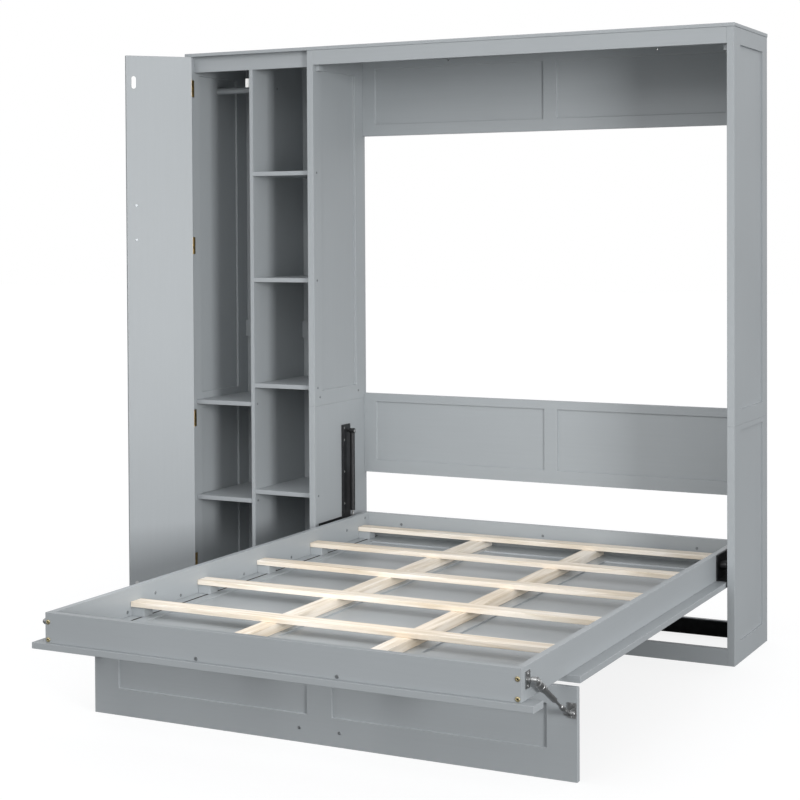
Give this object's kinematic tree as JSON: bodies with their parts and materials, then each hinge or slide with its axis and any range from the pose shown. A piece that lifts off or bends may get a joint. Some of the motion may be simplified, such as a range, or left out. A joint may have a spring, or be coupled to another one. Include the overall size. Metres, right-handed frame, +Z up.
{
  "type": "murphy wall bed",
  "caption": "Fold-down wall bed in a shallow painted cabinet, with a hinged leg panel, gas lift struts and a narrow side closet that has open shelves and one hinged door.",
  "frame": {"origin": "centre of the underside of the front base rail of the bed cabinet, on the floor", "axes": "+X to the right seen from the room, along the cabinet; +Y back towards the wall; +Z up"},
  "size_m": [2.2651, 2.055, 2.1],
  "materials": {
    "grey_paint": "satin grey paint on board",
    "pine": "bare planed pine",
    "black_metal": "satin black powder coat",
    "steel_rod": "satin zinc",
    "brass": "brass plated",
    "zinc_screw": "screw heads",
    "white_plastic": "moulded",
    "clear_bumper": "soft"
  },
  "bodies": {
    "cabinet": {"right_side_lower": "grey_paint", "right_side_upper": "grey_paint", "partition_lower": "grey_paint", "partition_upper": "grey_paint", "closet_side": "grey_paint", "top_board": "grey_paint", "top_rail": "grey_paint", "base_rails": "grey_paint", "base_stiffener": "black_metal", "upper_back_panel": "grey_paint", "lower_back_panel": "grey_paint", "stop_blocks": "grey_paint", "closet_top_rail": "grey_paint", "closet_plinth": "grey_paint", "closet_floor": "grey_paint", "divider": "grey_paint", "closet_back_lower": "grey_paint", "closet_back_upper": "grey_paint", "closet_back_batten": "grey_paint", "open_shelves": "grey_paint", "door_bay_shelves": "grey_paint", "clothes_rod": "steel_rod", "door_catch": "white_plastic", "cabinet_screws": "steel_rod", "left_lift_bracket": "black_metal", "right_lift_bracket": "black_metal", "door_hinge_leaves_cabinet": "brass"},
    "bed": {"left_rail": "grey_paint", "right_rail": "grey_paint", "head_rail": "grey_paint", "foot_rail": "grey_paint", "side_ledges": "grey_paint", "foot_ledge": "grey_paint", "face_panel": "grey_paint", "bearers": "pine", "slat_blocks": "grey_paint", "slats": "pine", "corner_bolts": "brass", "rail_screws": "zinc_screw", "left_bed_bracket": "black_metal", "right_bed_bracket": "black_metal", "leg_hinge_leaves_bed": "brass", "stay_rail_brackets": "black_metal"},
    "leg": {"leg_panel": "grey_paint", "leg_pull": "black_metal", "leg_pull_screws": "steel_rod", "leg_hinge_leaves_leg": "brass", "stay_leg_brackets": "black_metal"},
    "door": {"door_panel": "grey_paint", "door_pull": "black_metal", "door_pull_screws": "steel_rod", "door_strike": "white_plastic", "door_bumper": "clear_bumper", "door_hinge_leaves_door": "brass"},
    "lift_tube_pair": {"left_strut_tube": "black_metal", "right_strut_tube": "black_metal"},
    "lift_rod_pair": {"left_strut_rod": "steel_rod", "right_strut_rod": "steel_rod"},
    "stay_rod_pair": {"stay_rods": "steel_rod"},
    "stay_tube_pair": {"stay_tubes": "steel_rod"}
  },
  "joints": [
    {"name": "bed_lift", "type": "hinge", "parent": "cabinet", "child": "bed", "pos_m": [0, 0.055, 0.318], "axis": [-1, 0, 0], "range_deg": [0, 90]},
    {"name": "leg_fold", "type": "hinge", "parent": "bed", "child": "leg", "pos_m": [0, -1.342, 0.25], "axis": [-1, 0, 0], "range_deg": [0, 90]},
    {"name": "door_swing", "type": "hinge", "parent": "cabinet", "child": "door", "pos_m": [-1.2975, -0.014, 1.07], "axis": [0, 0, 1], "range_deg": [-46.3, 133.7]},
    {"name": "lift_strut_swing", "type": "hinge", "parent": "cabinet", "child": "lift_tube_pair", "pos_m": [0, 0.241, 0.672], "axis": [-1, 0, 0], "range_deg": [0, 17.38]},
    {"name": "lift_strut_slide", "type": "slide", "parent": "lift_tube_pair", "child": "lift_rod_pair", "axis": [0, 0, -1], "range_m": [0, 0.229]},
    {"name": "stay_swing", "type": "hinge", "parent": "leg", "child": "stay_rod_pair", "pos_m": [0, -1.392, 0.188], "axis": [1, 0, 0], "range_deg": [0, 115.49]},
    {"name": "stay_slide", "type": "slide", "parent": "stay_rod_pair", "child": "stay_tube_pair", "axis": [0, 0.8491, -0.5282], "range_m": [0, 0.0495]}
  ],
  "couplings": [
    {"joint": "lift_strut_swing", "follows": "bed_lift", "ratio": 0.19309},
    {"joint": "lift_strut_slide", "follows": "bed_lift", "m_per_rad": 0.14568},
    {"joint": "stay_swing", "follows": "leg_fold", "ratio": 1.2832},
    {"joint": "stay_slide", "follows": "leg_fold", "m_per_rad": 0.031373}
  ]
}
